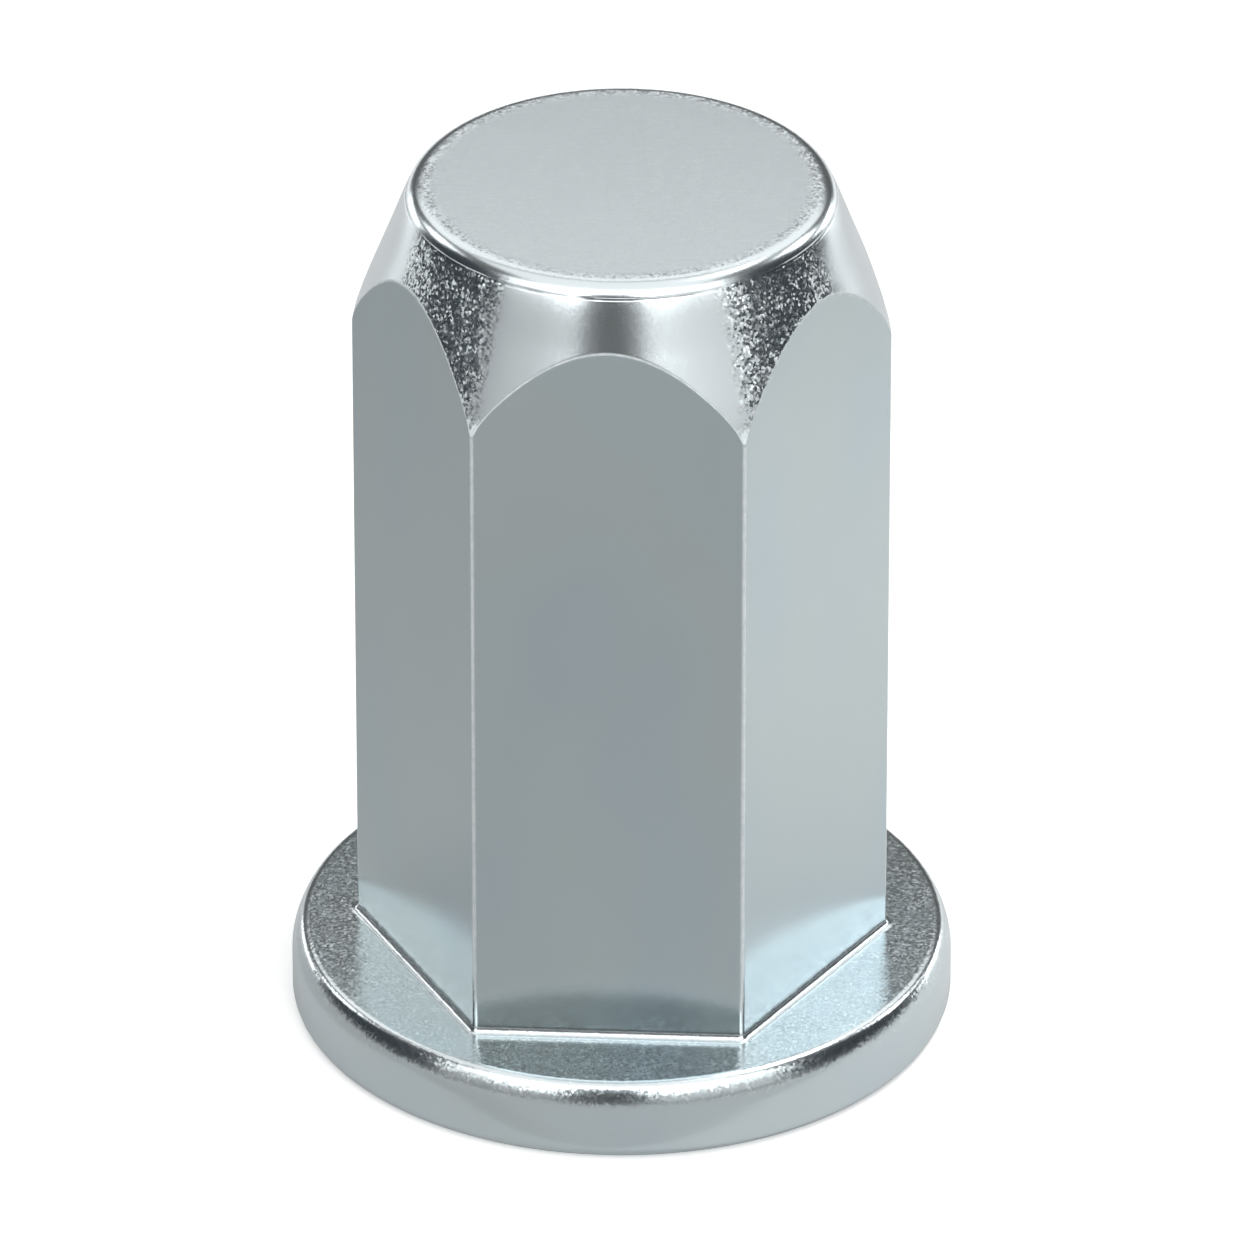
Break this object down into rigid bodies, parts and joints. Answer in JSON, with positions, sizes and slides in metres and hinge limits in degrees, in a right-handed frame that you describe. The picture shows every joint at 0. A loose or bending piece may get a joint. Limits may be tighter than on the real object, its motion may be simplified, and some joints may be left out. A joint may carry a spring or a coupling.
{
  "type": "rivet nut",
  "caption": "Closed-end rivet nut: hexagonal shank with a conical shoulder and flat end, round flat head, and a blind threaded bore.",
  "frame": {"origin": "centre of the head's outer face, which is the face that the nut stands on", "axes": "+Z along the shank to the closed end; one flat of the hexagon faces -Y"},
  "size_m": [0.013, 0.013, 0.018],
  "materials": {
    "zinc_plated_steel": "bright zinc plating over cold-formed steel, slightly bluish, with fine drawn and tumbled texture"
  },
  "bodies": {
    "root": {"rivet_nut": "zinc_plated_steel"}
  },
  "joints": []
}
